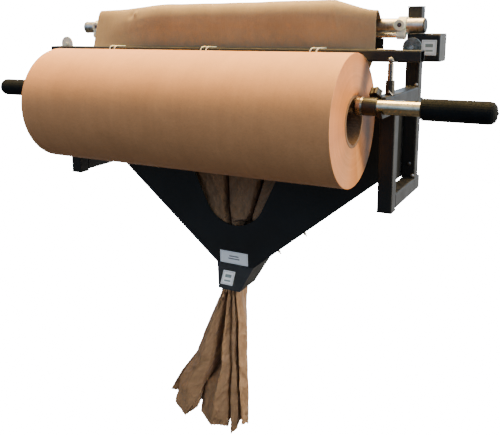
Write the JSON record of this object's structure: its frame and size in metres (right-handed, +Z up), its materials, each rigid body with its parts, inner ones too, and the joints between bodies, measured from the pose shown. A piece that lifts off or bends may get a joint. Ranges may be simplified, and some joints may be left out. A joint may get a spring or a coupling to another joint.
{
  "type": "paper dispenser",
  "caption": "Wall-mounted packing paper dispenser: a kraft paper roll on a lift-out shaft, a brake bar, a guide roller and a funnel that crumples the paper.",
  "frame": {"origin": "centre of the wall rail's back face, on the wall", "axes": "+X along the roll and shaft to the right as the user faces the wall, +Y into the wall, +Z up; the object extends towards -Y"},
  "size_m": [0.9836, 0.3526, 0.9143],
  "materials": {
    "frame_black": "satin black powder coat on welded square steel tube",
    "funnel_black": "satin black powder coat on folded sheet steel",
    "black_plastic": "moulded black plastic",
    "foam_grip": "closed-cell black foam",
    "zinc_steel": "bright zinc-plated steel",
    "grey_washer": "dull grey plated steel",
    "roller_steel": "bright drawn steel tube",
    "nickel_shaft": "polished nickel plate",
    "white_nylon": "off-white nylon",
    "core_board": "spiral-wound board",
    "kraft_roll": "brown kraft paper, wound",
    "kraft_paper": "brown kraft paper, creased",
    "grey_cap": "moulded grey plastic",
    "white_label": "printed white plastic label, left blank"
  },
  "bodies": {
    "frame": {"funnel_back": "funnel_black", "funnel_front": "funnel_black", "funnel_label": "white_label", "funnel_throat": "funnel_black", "guide_plate": "frame_black", "guide_rod": "zinc_steel", "left_bearing_screw": "zinc_steel", "left_bottom_rail": "frame_black", "left_front_foot": "black_plastic", "left_front_post": "frame_black", "left_funnel_side": "funnel_black", "left_rear_post": "frame_black", "left_rear_post_cap": "black_plastic", "left_rod_sleeve": "black_plastic", "left_roller_bearing": "white_nylon", "left_shaft_cradle": "frame_black", "left_sleeve_pin": "zinc_steel", "left_top_arm": "frame_black", "paper_gather": "kraft_paper", "paper_tail": "kraft_paper", "paper_web": "kraft_paper", "right_bearing_screw": "zinc_steel", "right_bottom_rail": "frame_black", "right_front_foot": "black_plastic", "right_front_post": "frame_black", "right_funnel_side": "funnel_black", "right_rear_post": "frame_black", "right_rear_post_cap": "black_plastic", "right_rod_sleeve": "black_plastic", "right_roller_bearing": "white_nylon", "right_shaft_cradle": "frame_black", "right_sleeve_pin": "zinc_steel", "right_top_arm": "frame_black", "side_block": "frame_black", "side_block_cap": "grey_cap", "side_block_label": "white_label", "throat_label": "white_label", "wall_rail": "frame_black"},
    "shaft": {"shaft_tube": "nickel_shaft", "left_grip": "foam_grip", "left_core_hub": "zinc_steel", "left_shaft_collar": "black_plastic", "right_grip": "foam_grip", "right_core_hub": "zinc_steel", "right_shaft_collar": "black_plastic"},
    "left_knob": {"left_collar_knob": "black_plastic"},
    "right_knob": {"right_collar_knob": "black_plastic"},
    "roll": {"paper_core": "core_board", "paper_roll": "kraft_roll"},
    "roller": {"guide_roller": "roller_steel", "left_roller_cap": "black_plastic", "right_roller_cap": "black_plastic"},
    "bar": {"brake_bar": "frame_black", "left_bar_washer": "grey_washer", "left_bar_bolt": "zinc_steel", "left_lift_rod": "zinc_steel", "right_bar_washer": "grey_washer", "right_bar_bolt": "zinc_steel", "right_lift_rod": "zinc_steel"}
  },
  "joints": [
    {"name": "shaft_lift_out", "type": "slide", "parent": "frame", "child": "shaft", "axis": [0, -0.866, 0.5], "range_m": [0, 0.08]},
    {"name": "roll_spin", "type": "hinge", "parent": "shaft", "child": "roll", "pos_m": [0, -0.2465, 0.0042], "axis": [1, 0, 0], "continuous": true},
    {"name": "left_knob_turn", "type": "hinge", "parent": "shaft", "child": "left_knob", "pos_m": [-0.3315, -0.2465, 0.0291], "axis": [0, 0.7431, 0.6691], "range_deg": [0, 360]},
    {"name": "right_knob_turn", "type": "hinge", "parent": "shaft", "child": "right_knob", "pos_m": [0.3315, -0.2465, 0.0291], "axis": [0, 0.7431, 0.6691], "range_deg": [0, 360]},
    {"name": "guide_roller_spin", "type": "hinge", "parent": "frame", "child": "roller", "pos_m": [0, -0.0893, 0.1494], "axis": [1, 0, 0], "continuous": true},
    {"name": "brake_bar_lift", "type": "slide", "parent": "frame", "child": "bar", "axis": [0, 0, 1], "range_m": [0, 0.02]}
  ],
  "couplings": [
    {"joint": "guide_roller_spin", "follows": "roll_spin", "ratio": 8.6612}
  ]
}
